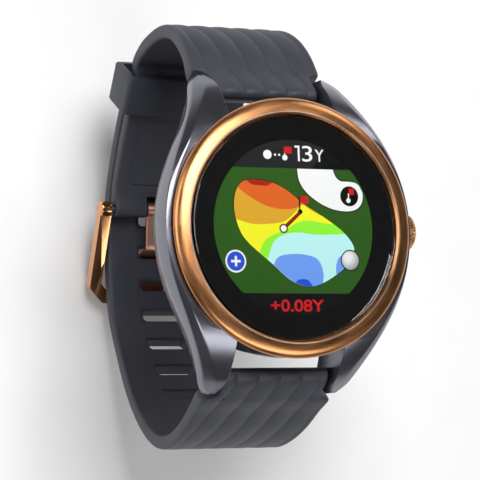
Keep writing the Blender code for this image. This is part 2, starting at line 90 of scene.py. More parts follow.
# ---------------------------------------------------------------- camera, light and floor
CAMERA_AT = Vector((-198.46, -50.80, 409.05))
CAMERA_BACK = Vector((-0.427, -0.110, 0.898)).normalized()
CAMERA_UP = Vector((-0.015, 0.993, 0.115))


def place_camera():
    bpy.ops.object.camera_add()
    camera = bpy.context.object
    right = CAMERA_UP.cross(CAMERA_BACK).normalized()
    up = CAMERA_BACK.cross(right)
    turn = Matrix((right, up, CAMERA_BACK)).transposed().to_4x4()
    camera.matrix_world = Matrix.Translation(CAMERA_AT * MM) @ turn
    camera.data.lens = 195
    camera.data.sensor_width = 36
    bpy.context.scene.camera = camera


def add_softbox(name, place, target, width, height, power):
    bpy.ops.object.light_add(type="AREA", location=Vector(place) * MM)
    light = bpy.context.object
    light.name = name
    aim = (Vector(target) - Vector(place)) * MM
    light.rotation_euler = aim.to_track_quat("-Z", "Y").to_euler()
    light.data.shape = "RECTANGLE"
    light.data.size = width * MM
    light.data.size_y = height * MM
    light.data.energy = power


def light_studio():
    middle = (0, 0, -15)
    add_softbox("overhead", (-60, 250, 550), middle, 330, 330, 3.6)
    add_softbox("left_strip", (-430, 90, 190), middle, 420, 130, 0.7)
    add_softbox("front_low", (60, -420, 350), middle, 560, 150, 1.2)
    add_softbox("right_low", (372, 405, 216), middle, 170, 190, 0.36)
    world = bpy.data.worlds.new("studio")
    bpy.context.scene.world = world
    world.use_nodes = True
    background = world.node_tree.nodes["Background"]
    background.inputs["Color"].default_value = (0.95, 0.97, 1.0, 1.0)
    background.inputs["Strength"].default_value = 0.08
    bpy.context.scene.view_settings.view_transform = "Standard"


# ---------------------------------------------------------------- shader helpers
def add_node(tree, kind, links=None, **values):
    """A shader node with its socket values and properties; links maps its inputs to other sockets."""
    node = tree.nodes.new(kind)
    for key, value in values.items():
        setattr(node, key, value)
    for key, source in (links or {}).items():
        if isinstance(source, bpy.types.NodeSocket):
            tree.links.new(source, node.inputs[key])
        else:
            node.inputs[key].default_value = source
    return node


def calculate(tree, operation, *values):
    return add_node(tree, "ShaderNodeMath", dict(enumerate(values)), operation=operation).outputs[0]


def calculate_vector(tree, operation, first, second=None):
    """A vector calculation: SCALE takes a number second, LENGTH and DISTANCE give a number."""
    links = {0: first}
    if second is not None:
        links["Scale" if operation == "SCALE" else 1] = second
    node = add_node(tree, "ShaderNodeVectorMath", links, operation=operation)
    return node.outputs["Value" if operation in ("LENGTH", "DISTANCE") else "Vector"]


def remap(tree, value, from_low, from_high, to_low, to_high):
    return add_node(tree, "ShaderNodeMapRange",
                    {"Value": value, 1: from_low, 2: from_high, 3: to_low, 4: to_high}).outputs[0]


def noise(tree, place, scale, detail):
    return add_node(tree, "ShaderNodeTexNoise",
                    {"Vector": place, "Scale": scale, "Detail": detail}).outputs["Fac"]


def object_place(tree):
    return add_node(tree, "ShaderNodeTexCoord").outputs["Object"]


def new_group(name, inputs, outputs):
    """A node group; inputs map socket names to (type, default), outputs map them to a type."""
    group = bpy.data.node_groups.new(name, "ShaderNodeTree")
    for socket_name, (kind, default) in inputs.items():
        socket = group.interface.new_socket(socket_name, in_out="INPUT", socket_type=kind)
        if default is not None:
            socket.default_value = default
    for socket_name, kind in outputs.items():
        group.interface.new_socket(socket_name, in_out="OUTPUT", socket_type=kind)
    return group, group.nodes.new("NodeGroupInput"), group.nodes.new("NodeGroupOutput")


FLOAT = "NodeSocketFloat"
COLOUR = "NodeSocketColor"
VECTOR = "NodeSocketVector"


def build_grain_group():
    """Fine noise for moulded rubber, cast plastic and blasted metal."""
    group, given, result = new_group("fine_grain", {"Scale": (FLOAT, 3000.0)},
                                     {"Height": FLOAT, "Patches": FLOAT})
    place = object_place(group)
    group.links.new(noise(group, place, given.outputs["Scale"], 3.0), result.inputs["Height"])
    group.links.new(noise(group, place, 90.0, 2.0), result.inputs["Patches"])
    return group


def build_turning_group():
    """Concentric brushing round the Z axis of the given coordinates."""
    group, given, result = new_group("turned_lines", {"Vector": (VECTOR, None), "Scale": (FLOAT, 9000.0)},
                                     {"Height": FLOAT, "Streaks": FLOAT})
    x, y, z = add_node(group, "ShaderNodeSeparateXYZ", {0: given.outputs["Vector"]}).outputs
    flat = add_node(group, "ShaderNodeCombineXYZ", {0: x, 1: y}).outputs[0]
    across = calculate(group, "MULTIPLY", calculate_vector(group, "LENGTH", flat), given.outputs["Scale"])
    rise = calculate(group, "MULTIPLY", z, given.outputs["Scale"])
    around = calculate(group, "MULTIPLY", calculate(group, "ARCTAN2", y, x), 3.0)
    stretched = add_node(group, "ShaderNodeCombineXYZ", {0: across, 1: around, 2: rise}).outputs[0]
    slow = calculate_vector(group, "MULTIPLY", stretched, (0.12, 1.0, 0.12))
    group.links.new(noise(group, stretched, 1.0, 2.0), result.inputs["Height"])
    group.links.new(noise(group, slow, 1.0, 3.0), result.inputs["Streaks"])
    return group


def build_tint_group():
    """A colour that drifts between a darker and a lighter tone, and turns to another where a mask is high; on
    the bezel that mask paints a highlight.
    """
    group, given, result = new_group(
        "tint_and_painted_highlight", {"Colour": (COLOUR, None), "Drift": (FLOAT, 0.5), "Amount": (FLOAT, 0.15),
                      "Edge": (FLOAT, 0.0), "Edge Colour": (COLOUR, None)}, {"Colour": COLOUR})
    swing = remap(group, given.outputs["Drift"], 0.3, 0.7, -1.0, 1.0)
    change = calculate(group, "MULTIPLY_ADD", swing, given.outputs["Amount"], 1.0)
    mix = add_node(group, "ShaderNodeMix", data_type="RGBA")
    group.links.new(given.outputs["Edge"], mix.inputs["Factor"])
    group.links.new(calculate_vector(group, "SCALE", given.outputs["Colour"], change), mix.inputs["A"])
    group.links.new(given.outputs["Edge Colour"], mix.inputs["B"])
    group.links.new(mix.outputs["Result"], result.inputs["Colour"])
    return group


def build_screen_group():
    """Lit picture elements: the colour with a faint dot grid, a little dimmer towards the foot of the screen."""
    group, given, result = new_group("lit_dots", {"Colour": (COLOUR, None)}, {"Colour": COLOUR})
    parts = add_node(group, "ShaderNodeSeparateXYZ", {0: object_place(group)}).outputs
    dot_pitch = 0.078 * MM
    dots = []
    for axis in ("X", "Y"):
        turn = calculate(group, "MULTIPLY", parts[axis], math.tau / dot_pitch)
        dots.append(calculate(group, "MULTIPLY_ADD", calculate(group, "COSINE", turn), 0.03, 0.5))
    fall = remap(group, parts["Y"], -15 * MM, 12 * MM, 0.9, 1.06)
    level = calculate(group, "MULTIPLY", calculate(group, "ADD", *dots), fall)
    dimmed = calculate_vector(group, "SCALE", given.outputs["Colour"], level)
    group.links.new(dimmed, result.inputs["Colour"])
    return group


GRAIN = build_grain_group()
TURNING = build_turning_group()
TINT = build_tint_group()
SCREEN = build_screen_group()


def linear(*display_values):
    """Shader colour for a colour given as 0 to 1 display values."""
    return (*[v / 12.92 if v <= 0.04045 else ((v + 0.055) / 1.055) ** 2.4 for v in display_values], 1.0)


def new_material(name, roughness, metallic=0.0, **constants):
    material = bpy.data.materials.new(name)
    material.use_nodes = True
    tree = material.node_tree
    shader = tree.nodes["Principled BSDF"]
    shader.inputs["Roughness"].default_value = roughness
    shader.inputs["Metallic"].default_value = metallic
    for key, value in constants.items():
        shader.inputs[key.replace("_", " ")].default_value = value
    return material, tree, shader


def use_group(tree, group, links):
    return add_node(tree, "ShaderNodeGroup", links, node_tree=group).outputs


def tint_shader(tree, shader, colour, drift, amount, **edge):
    tint = use_group(tree, TINT, {"Colour": colour, "Drift": drift, "Amount": amount,
                                  **{key.replace("_", " "): value for key, value in edge.items()}})
    tree.links.new(tint["Colour"], shader.inputs["Base Color"])


def bump_shader(tree, shader, height, strength, distance):
    bump = add_node(tree, "ShaderNodeBump",
                    {"Height": height, "Strength": strength, "Distance": distance * MM})
    tree.links.new(bump.outputs["Normal"], shader.inputs["Normal"])


def vary_roughness(tree, shader, mask, low, high):
    tree.links.new(remap(tree, mask, 0.3, 0.7, low, high), shader.inputs["Roughness"])


def grained(name, colour, roughness, metallic=0.0, scale=3000.0, depth=0.02, amount=0.12, spread=0.05,
            **constants):
    """Moulded, blasted or painted surface with a fine grain and slow patches of tone and gloss."""
    material, tree, shader = new_material(name, roughness, metallic, **constants)
    grain = use_group(tree, GRAIN, {"Scale": scale})
    tint_shader(tree, shader, colour, grain["Patches"], amount)
    vary_roughness(tree, shader, grain["Patches"], roughness - spread, roughness + spread)
    bump_shader(tree, shader, grain["Height"], 0.5, depth)
    return material


def turned_metal(name, colour, roughness, centre=(0, 0, 0), axis="Z", amount=0.1, painted_highlight_ring=None):
    """Metal with brushing that runs round an axis, and a narrow paler ring at the given radius: a painted
    highlight, the bright line that the bezel's inner chamfer reflects.
    """
    material, tree, shader = new_material(name, roughness, 1.0)
    turn = (0, math.radians(-90), 0) if axis == "X" else (0, 0, 0)
    moved = add_node(tree, "ShaderNodeMapping",
                     {"Vector": object_place(tree), "Location": Vector(centre) * -MM}).outputs[0]
    place = add_node(tree, "ShaderNodeMapping", {"Vector": moved, "Rotation": turn}).outputs[0]
    lines = use_group(tree, TURNING, {"Vector": place})
    edge = {}
    if painted_highlight_ring is not None:
        radius = calculate_vector(tree, "LENGTH", calculate_vector(tree, "MULTIPLY", place, (1.0, 1.0, 0.0)))
        distance = calculate(tree, "ABSOLUTE", calculate(tree, "SUBTRACT", radius, painted_highlight_ring * MM))
        # Paler colour on a narrow ring: a painted highlight where the inner chamfer reflects a bright line.
        edge = {"Edge": remap(tree, distance, 0.09 * MM, 0.13 * MM, 1.0, 0.0),
                "Edge_Colour": (1.0, 0.8, 0.68, 1.0)}
    tint_shader(tree, shader, colour, lines["Streaks"], amount, **edge)
    vary_roughness(tree, shader, lines["Streaks"], roughness - 0.05, roughness + 0.07)
    bump_shader(tree, shader, lines["Height"], 0.35, 0.01)
    return material


def new_lit(name):
    """The start of a material for something that the screen shows."""
    return new_material(name, 0.5, Specular_IOR_Level=0.05, Base_Color=(0.004, 0.004, 0.004, 1.0),
                        Emission_Strength=1.0)


def light_up(tree, shader, colour):
    dots = use_group(tree, SCREEN, {"Colour": colour})
    tree.links.new(dots["Colour"], shader.inputs["Emission Color"])


def lit(name, colour):
    """A colour shown by the screen."""
    material, tree, shader = new_lit(name)
    light_up(tree, shader, colour)
    return material


# ---------------------------------------------------------------- modelling helpers
def deselect():
    if bpy.context.mode != "OBJECT":
        bpy.ops.object.mode_set(mode="OBJECT")
    bpy.ops.object.select_all(action="DESELECT")


def activate(piece):
    deselect()
    bpy.context.view_layer.objects.active = piece
    piece.select_set(True)


def edit_all(piece):
    activate(piece)
    bpy.ops.object.mode_set(mode="EDIT")
    bpy.ops.mesh.select_all(action="SELECT")


def tidy_solid():
    """In edit mode: merge doubles, drop loose bits and point the faces outwards."""
    bpy.ops.mesh.select_all(action="SELECT")
    bpy.ops.mesh.remove_doubles(threshold=0.0005 * MM)
    bpy.ops.mesh.delete_loose()
    bpy.ops.mesh.select_all(action="SELECT")
    bpy.ops.mesh.normals_make_consistent(inside=False)
    bpy.ops.object.mode_set(mode="OBJECT")


def set_points(piece, points):
    piece.data.vertices.foreach_set("co", [value * MM for point in points for value in point])
    piece.data.update()


def rounded(outline, radius, steps=4, sharp=()):
    """An outline with each corner, apart from those numbered in sharp, turned into a small curve."""
    points = []
    count = len(outline)
    for i in range(count):
        before, here, after = (Vector(outline[k % count]) for k in (i - 1, i, i + 1))
        if i in sharp:
            points.append(tuple(here))
            continue
        back = (before - here) * min(0.45, radius / (before - here).length)
        ahead = (after - here) * min(0.45, radius / (after - here).length)
        for k in range(steps + 1):
            t = k / steps
            points.append(tuple(here + back * (1 - t) ** 2 + ahead * t ** 2))
    return points


def turned(name, profile, steps=128, centre=(0, 0, 0), axis="Z"):
    """A closed profile of (radius, height) points spun round an axis through centre."""
    deselect()
    bpy.ops.mesh.primitive_circle_add(vertices=len(profile), radius=MM)
    piece = bpy.context.object
    piece.name = name
    middle = Vector(centre)
    out = Vector((0, 0, 1)) if axis == "X" else Vector((1, 0, 0))
    along = Vector((1, 0, 0)) if axis == "X" else Vector((0, 0, 1))
    set_points(piece, [middle + out * radius + along * height for radius, height in profile])
    edit_all(piece)
    bpy.ops.mesh.spin(steps=steps, angle=math.tau, center=middle * MM, axis=along)
    tidy_solid()
    return piece


def plate(name, outline, low, high, bevel=0.0, place=None):
    """A flat outline in X and Y raised from low to high, with bevelled rims, and put in place."""
    deselect()
    bpy.ops.mesh.primitive_circle_add(vertices=len(outline), radius=MM, fill_type="NGON")
    piece = bpy.context.object
    piece.name = name
    set_points(piece, [(x, y, low) for x, y in outline])
    edit_all(piece)
    bpy.ops.mesh.extrude_region_move(TRANSFORM_OT_translate={"value": (0, 0, (high - low) * MM)})
    tidy_solid()
    if bevel:
        bevel_edges(piece, bevel)
    if place is not None:
        shift(piece, place)
    return piece


def shift(piece, place):
    """Put a piece drawn round the origin in its place; the matrix is in millimetres."""
    piece.data.transform(Matrix.Scale(MM, 4) @ place @ Matrix.Scale(1 / MM, 4))
    return piece


def wrapped(name, sections):
    """Closed sections skinned into a solid: a grid laid on the sections, rolled shut and capped."""
    columns = len(sections[0])
    deselect()
    bpy.ops.mesh.primitive_grid_add(x_subdivisions=columns, y_subdivisions=len(sections) - 1)
    piece = bpy.context.object
    piece.name = name
    set_points(piece, [point for section in sections for point in [*section, section[0]]])
    edit_all(piece)
    bpy.ops.mesh.remove_doubles(threshold=0.0005 * MM)
    bpy.ops.mesh.fill_holes(sides=0)
    tidy_solid()
    return piece


def block(name, low, high, bevel=0.0, segments=2):
    """A bevelled box, for cutters and small details."""
    deselect()
    bpy.ops.mesh.primitive_cube_add(size=1.0)
    piece = bpy.context.object
    piece.name = name
    low, high = Vector(low), Vector(high)
    middle, size = (low + high) / 2, high - low
    set_points(piece, [middle + Vector(v.co) * size for v in piece.data.vertices])
    if bevel:
        bevel_edges(piece, bevel, segments)
    return piece


def bevel_edges(piece, width, segments=2, angle=30.0):
    modifier = piece.modifiers.new("rims", "BEVEL")
    modifier.width = width * MM
    modifier.segments = segments
    modifier.limit_method = "ANGLE"
    modifier.angle_limit = math.radians(angle)
    modifier.use_clamp_overlap = True
    apply_modifiers(piece)


def apply_modifiers(piece):
    activate(piece)
    for modifier in list(piece.modifiers):
        bpy.ops.object.modifier_apply(modifier=modifier.name)


def combine(piece, tools, operation="DIFFERENCE"):
    """Cut tools out of a piece, or add them to it; the tools are used up."""
    for tool in tools:
        modifier = piece.modifiers.new("cut", "BOOLEAN")
        modifier.object = tool
        modifier.operation = operation
        modifier.solver = "EXACT"
        apply_modifiers(piece)
        bpy.data.objects.remove(tool, do_unlink=True)


def rod(radius, x0, x1, y, z, steps=24):
    """A round bar along X, used to cut bores."""
    return turned("rod", [(0, x0), (radius, x0), (radius, x1), (0, x1)], steps, (0, y, z), "X")


def side_rods(radius, near, far, y, z):
    """Two round bars along X, one on each side, between two distances from the middle."""
    return [rod(radius, *sorted((side * near, side * far)), y, z) for side in (-1, 1)]


def upright_pin(name, radius, low, high, steps, place):
    """A round bar along Z, used to cut holes."""
    return turned(name, [(0, low), (radius, low), (radius, high), (0, high)], steps, (place.x, place.y, 0))


def finish_piece(piece, body, material, replaced=(), smooth=30.0):
    """Shade a piece, give it its material, hang it on the body it rides on and hide the parts it stands for."""
    activate(piece)
    bpy.ops.object.shade_smooth_by_angle(angle=math.radians(smooth))
    piece.data.materials.clear()
    piece.data.materials.append(material)
    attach(piece, body)
    if replaced:
        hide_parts(*replaced)


def catmull(points, steps):
    """A smooth open curve through every point, in any number of dimensions."""
    points = [Vector(p) for p in points]
    padded = [points[0], *points, points[-1]]
    curve = []
    for a, b, c, d in zip(padded, padded[1:], padded[2:], padded[3:]):
        for k in range(steps):
            t = k / steps
            curve.append(0.5 * ((2 * b) + (c - a) * t + (2 * a - 5 * b + 4 * c - d) * t ** 2
                                + (3 * b - a - 3 * c + d) * t ** 3))
    curve.append(points[-1].copy())
    return curve


def open_curve(points, steps):
    return [tuple(p) for p in catmull(points, steps)]


def closed_curve(points, steps=6):
    """A smooth closed outline through every point."""
    count = len(points)
    around = open_curve([points[i % count] for i in range(-1, count + 2)], steps)
    return around[steps:-steps - 1]


# ---------------------------------------------------------------- case
def ease(y, start, span):
    return min(1.0, max(0.0, (abs(y) - start) / span))


def flank_section(side, y):
    """Section of one flank and its horns: side wall, chamfer, crease and deck, with softened corners."""
    tip_start_y = 25.6
    far = abs(y)
    tip = ease(y, tip_start_y, LUG_TIP_Y - tip_start_y)
    outer = FLANK_HALF_X - 0.0184 * far ** 2 + 6.9e-6 * far ** 4 - tip ** 2
    inner = 10.35 + 1.1 * tip ** 2
    strip_top = 12.1 - 9.2 * (far / 27.5) ** 3.4
    strip_low = strip_top - 4.0 + 1.8 * ease(y, 7, 11) + 1.3 * max(0.0, 1 - ((y - 19.5) / 5) ** 2)
    crease_z = min(12.25, strip_top + 0.4 + 0.7 * ease(y, 0, 12)) - 0.9 * tip
    crease_x = max(inner + 0.4, outer - 0.8 - ease(y, 10, 14) + 0.9 * tip)
    floor = 1.8 - 2.7 * ease(y, 18, 6) + 1.4 * tip
    under_x = max(inner + 0.3, outer - 2.2 + 0.9 * tip)
    corners = [(inner, floor), (under_x, floor), (outer, max(strip_low, floor + 0.2)),
               (outer, strip_top), (crease_x, crease_z), (inner, min(12.1, crease_z + 0.8))]
    return [(side * x, y, z) for x, z in rounded(corners, 0.28, 3)]


def build_flank(side):
    stations = [LUG_TIP_Y * math.sin(math.radians(a)) for a in range(-90, 91, 3)]
    return wrapped("flank", [flank_section(side, y) for y in stations])


def build_case(material):
    bore, seat, seat_z, top = 17.65, 19.9, 11.05, 12.2
    head = rounded([(bore, 1.8), (20.7, 1.8), (21.2, 2.4), (21.2, 6.0), (22.0, 7.2), (22.0, top), (seat, top),
                    (seat, seat_z), (bore, seat_z)], 0.15, 2)
    case = turned("mid_case_finished", head, 144)
    combine(case, [build_flank(-1), build_flank(1)], "UNION")
    hollow = [(0, -4), (bore, -4), (bore, seat_z), (seat, seat_z), (seat, 16), (0, 16)]
    crown_seat = [(0, 16), (2.3, 16), (2.3, 22.4), (3.5, 22.4), (3.5, 26), (0, 26)]
    # The crown's seat is cut before the hollow: the other way round the seat came out as a solid plug.
    combine(case, [turned("crown_seat", crown_seat, 48, (0, 0, CROWN_Z), "X"), turned("hollow", hollow, 144)])
    bores = [side_rods(0.65, 10, 12.1, bar.y, bar.z) for bar in BAR.values()]
    combine(case, [pair[side] for side in (0, 1) for pair in bores])
    combine(case, [upright_pin("thread", 0.75, 1, 4.9, 16, centre_mm(f"case_screw_{number}"))
                   for number in range(1, 5)])
    finish_piece(case, "watch_case", material, ["mid_case"], 24.0)


# ---------------------------------------------------------------- bezel and glass
def build_bezel(material):
    round_edge = [(BEZEL_R - 0.75, 12.5), (BEZEL_R - 0.2, 12.68), (BEZEL_R, 13.1), (BEZEL_R - 0.12, 13.45),
                  (BEZEL_R - 0.55, 13.88), (BEZEL_R - 1.2, 14.2), (BEZEL_R - 1.9, 14.38),
                  (20.14, BEZEL_TOP - 0.04)]
    chamfer = [(20.08, BEZEL_TOP - 0.12), (20.0, BEZEL_TOP - 0.12), (19.94, BEZEL_TOP), (19.86, BEZEL_TOP),
               (19.55, BEZEL_TOP - 0.32)]
    seat = [(19.55, 12.3), (18.3, 12.3), (18.3, 11.5), (19.6, 11.5), (19.6, 12.5)]
    bezel = turned("bezel_ring", open_curve(round_edge, 4) + chamfer + seat, 256)
    finish_piece(bezel, "watch_case", material, ["bezel"], 35.0)


def build_lens(glass, print_black):
    radius, edge = LENS_HIGH.x, 0.2
    low, high = LENS_LOW.z, LENS_HIGH.z
    profile = [(0, low), (radius - 0.05, low), (radius, low + 0.05), (radius, high - edge)]
    profile += [(radius - edge * math.sin(math.radians(a)), high - edge * (1 - math.sin(math.radians(a))))
                for a in (30, 60, 90)]
    lens = turned("watch_glass", profile + [(0, high)], 192)
    finish_piece(lens, "watch_case", glass, ["lens"])
    window, rim, under, over = 15.22, radius - 0.1, low - 0.07, low - 0.03
    mask = turned("glass_mask", [(window, under), (rim, under), (rim, over), (window, over)], 192)
    finish_piece(mask, "watch_case", print_black)


# ---------------------------------------------------------------- screen picture
SCREEN_R = 15.2
PICTURE_GAP = 0.02
LAYER = 0.016
HEADER_Y = 10.2
FOOTER_Y = -11.35

GREEN_SHAPE = [(-8.7, 8.0), (-4.4, 7.8), (-1.1, 6.4), (2.0, 4.1), (4.6, 2.6), (7.5, 0.8), (9.8, -1.0),
               (11.4, -3.3), (10.8, -5.3), (8.7, -7.5), (4.6, -9.8), (1.7, -10.1), (-1.2, -9.0), (-4.3, -6.4),
               (-8.8, -2.7), (-10.5, -0.1), (-11.2, 3.4), (-10.6, 6.4)]
# Slopes on the green, lowest layer first: colour, inner edge, and far corners that lie past the green.
SLOPES = [
    ("amber", [(-12.5, 1.6), (-10.7, 1.2), (-8.0, 0.5), (-5.1, 0.5), (-1.9, 1.0), (0.3, 2.6), (1.7, 3.9),
               (3.4, 3.0), (5.5, 2.1), (7.0, 2.4)], [(4, 11), (-14, 11)]),
    ("orange", [(-11.0, 7.4), (-9.8, 6.2), (-7.8, 4.9), (-5.0, 3.6), (-2.1, 3.1), (0.6, 3.4), (2.4, 4.8)],
     [(4, 11), (-12, 11)]),
    ("dark_red", [(-9.4, 8.6), (-8.0, 7.4), (-6.4, 7.1), (-4.6, 7.2), (-3.4, 8.2)], [(-4, 11), (-10, 11)]),
    ("lime", [(-7.4, -6.0), (-6.5, -3.9), (-5.2, -2.0), (-1.4, -0.3), (0.4, 0.7), (2.5, 1.2), (5.2, 0.9),
              (8.6, 0.5)], [(14, -1), (14, -12), (-7, -12)]),
    ("pale_cyan", [(-5.6, -6.4), (-5.0, -4.8), (-4.0, -2.6), (-2.0, -1.3), (0.9, -0.9), (3.6, -1.2),
                   (6.5, -1.2), (10.6, -1.0)], [(14, -4), (14, -12), (-6, -12)]),
    ("sky", [(-4.6, -7.4), (-4.0, -6.2), (-3.3, -5.2), (-1.6, -4.7), (1.0, -4.6), (3.6, -5.1), (4.8, -6.2),
             (5.3, -8.2), (4.9, -10.4)], [(3, -12), (-5, -12)]),
    ("deep_blue", [(-0.4, -9.9), (0.3, -9.1), (1.3, -8.9), (2.3, -9.1), (3.2, -10.2)],
     [(2.5, -12), (-0.5, -12)]),
]
BUNKER = [(1.0, 10.6), (1.05, 9.4), (1.3, 8.1), (2.1, 6.7), (3.5, 5.35), (5.6, 4.05), (7.9, 3.2),
          (10.3, 2.95), (12.1, 3.3), (13.2, 4.3), (13.55, 5.7), (13.2, 7.1), (12.2, 7.95), (10.8, 8.15),
          (9.4, 8.2), (8.5, 8.8), (8.0, 9.8), (7.85, 10.6)]


def circle(x, y, radius, count=48):
    return [(x + radius * math.cos(math.tau * k / count), y + radius * math.sin(math.tau * k / count))
            for k in range(count)]


def disc_slice(low, high, radius=SCREEN_R, count=40):
    """The part of the screen's disc between two heights."""
    start, end = (math.asin(max(-1, min(1, value / radius))) for value in (low, high))
    angles = [start + (end - start) * k / count for k in range(count + 1)]
    right = [(radius * math.cos(a), radius * math.sin(a)) for a in angles]
    return right + [(-x, y) for x, y in reversed(right)]


def grown(outline, by):
    """The outline pushed outwards by a small distance."""
    area = sum(a[0] * b[1] - b[0] * a[1] for a, b in zip(outline, outline[1:] + outline[:1]))
    sense = 1 if area > 0 else -1
    result = []
    for i, here in enumerate(outline):
        before, after = Vector(outline[i - 1]), Vector(outline[(i + 1) % len(outline)])
        along = (after - before).normalized()
        result.append((here[0] + sense * along.y * by, here[1] - sense * along.x * by))
    return result


class Picture:
    """Thin coloured plates stacked on the display panel."""

    def __init__(self, colours):
        self.colours = colours

    def paint(self, name, outline, level, colour, clip=None):
        low = SCREEN_Z + PICTURE_GAP + level * LAYER
        shape = plate(f"screen_{name}", outline, low, low + LAYER * 0.8)
        if clip is not None:
            combine(shape, [plate("clip", clip, low - 0.1, low + 0.1)], "INTERSECT")
        self.show(shape, colour)

    def show(self, shape, colour):
        finish_piece(shape, "watch_case", self.colours[colour])

    def write(self, name, text, low, high, level, colour, weight=0.0):
        """Characters stretched to fill the box between two corners."""
        deselect()
        bpy.ops.object.text_add()
        letters = bpy.context.object
        letters.name = f"screen_{name}"
        letters.data.body = text
        letters.data.size = 3 * MM
        letters.data.offset = weight * MM
        letters.data.extrude = LAYER * 0.4 * MM
        letters.data.resolution_u = 6
        bpy.ops.object.convert(target="MESH")
        letters = bpy.context.object
        places = [v.co / MM for v in letters.data.vertices]
        x0, x1 = min(p.x for p in places), max(p.x for p in places)
        y0, y1 = min(p.y for p in places), max(p.y for p in places)
        height = SCREEN_Z + PICTURE_GAP + (level + 0.4) * LAYER
        wide, tall = (high[0] - low[0]), (high[1] - low[1])
        set_points(letters, [(low[0] + (p.x - x0) / (x1 - x0) * wide, low[1] + (p.y - y0) / (y1 - y0) * tall,
                              p.z + height) for p in places])
        edit_all(letters)
        tidy_solid()
        self.show(letters, colour)


def stroke(x0, y0, x1, y1, width):
    """Outline of a straight bar between two points."""
    along = Vector((x1 - x0, y1 - y0)).normalized()
    side = Vector((-along.y, along.x)) * width / 2
    return [(x0 - side.x, y0 - side.y), (x1 - side.x, y1 - side.y), (x1 + side.x, y1 + side.y),
            (x0 + side.x, y0 + side.y)]


def build_screen(colours):
    picture = Picture(colours)
    paint = picture.paint
    green = closed_curve(GREEN_SHAPE)
    paint("map", disc_slice(FOOTER_Y, HEADER_Y), 0, "grass")
    paint("header", disc_slice(HEADER_Y, SCREEN_R - 0.01), 0, "header")
    paint("header_shade", [(3.8, HEADER_Y), (11.5, HEADER_Y), (11.5, 12.0), (6.6, 13.9)], 0.9, "black",
          disc_slice(HEADER_Y, SCREEN_R - 0.02))
    paint("footer", disc_slice(-SCREEN_R + 0.01, FOOTER_Y), 0, "black")
    paint("green_rim", grown(green, 0.14), 1, "outline")
    paint("green", green, 2, "yellow")
    for level, (colour, edge, far) in enumerate(SLOPES, 3):
        paint(f"slope_{colour}", open_curve(edge, 5) + far, level, colour, green)
    small_dip = closed_curve([(8.0, -8.2), (7.8, -6.6), (8.4, -5.1), (9.6, -4.9), (10.5, -6.4)])
    paint("slope_small_dip", small_dip, 10, "sky", green)

    bunker_limit = disc_slice(FOOTER_Y, HEADER_Y - 0.02, SCREEN_R - 0.3)
    bunker = open_curve(BUNKER, 5)
    paint("bunker_rim", grown(bunker, 0.2), 3, "black", bunker_limit)
    paint("bunker", bunker, 4, "white", bunker_limit)

    # Direction mark in the bunker, pin with its flag, dashed aiming line and target ring.
    paint("mark_disc", circle(10.9, 5.6, 1.75), 5, "black")
    paint("mark_pole", stroke(10.75, 6.1, 10.75, 5.0, 0.2), 6, "white")
    paint("mark_pin", circle(10.7, 4.85, 0.42, 24), 6, "white")
    paint("mark_flag", [(10.8, 5.85), (11.8, 5.85), (11.8, 6.95), (10.8, 6.95)], 6, "red")
    paint("pin_pole", stroke(1.15, 2.7, 1.15, 5.3, 0.26), 13, "black")
    paint("pin_foot", circle(1.2, 2.7, 0.45, 24), 13, "black")
    paint("pin_flag", [(1.3, 4.2), (2.85, 4.2), (2.85, 5.4), (1.3, 5.4)], 13, "red")
    paint("aim_rim", stroke(1.1, 2.5, -2.0, -0.2, 0.62), 14, "black")
    paint("aim", stroke(1.1, 2.5, -2.0, -0.2, 0.34), 15, "aim_red")
    paint("target_ring", circle(-2.1, -0.25, 0.8, 32), 16, "black")
    paint("target", circle(-2.1, -0.25, 0.56, 32), 17, "white")

    # Buttons at the lower left and lower right.
    x, y, reach = -11.25, -5.95, 0.9
    paint("plus_ring", circle(x, y, 1.95), 3, "white")
    paint("plus_disc", circle(x, y, 1.65), 4, "button_blue")
    paint("plus_bar", stroke(x - reach, y, x + reach, y, 0.42), 5, "white")
    paint("plus_post", stroke(x, y - reach, x, y + reach, 0.42), 6, "white")
    paint("ball_rim", circle(10.55, -5.6, 1.85), 12, "black")
    paint("ball", circle(10.55, -5.6, 1.65), 13, "ball")

    # Header and footer read-outs.
    paint("tee_ball", circle(-4.55, 12.5, 0.8, 32), 1, "white")
    for number, x in enumerate((-3.1, -2.3), 1):
        paint(f"tee_dot_{number}", circle(x, 12.5, 0.2, 16), 1, "white")
    paint("header_pole", stroke(-1.25, 12.2, -1.25, 13.4, 0.18), 1, "white")
    paint("header_pin", circle(-1.25, 12.05, 0.5, 24), 2, "white")
    paint("header_flag", [(-1.35, 12.75), (0.1, 12.75), (0.1, 13.95), (-1.35, 13.95)], 3, "red")
    paint("distance_one", stroke(1.45, 11.5, 1.45, 14.2, 0.36), 1, "white")
    paint("distance_one_flag", stroke(0.68, 14.02, 1.3, 14.02, 0.34), 2, "white")
    picture.write("distance_three", "3", (2.1, 11.45), (4.05, 14.2), 1, "white", 0.01)
    picture.write("distance_unit", "Y", (4.55, 11.5), (6.25, 13.6), 1, "white", 0.02)
    picture.write("offset", "+0.08Y", (-4.95, -14.5), (5.25, -12.4), 1, "red", 0.05)


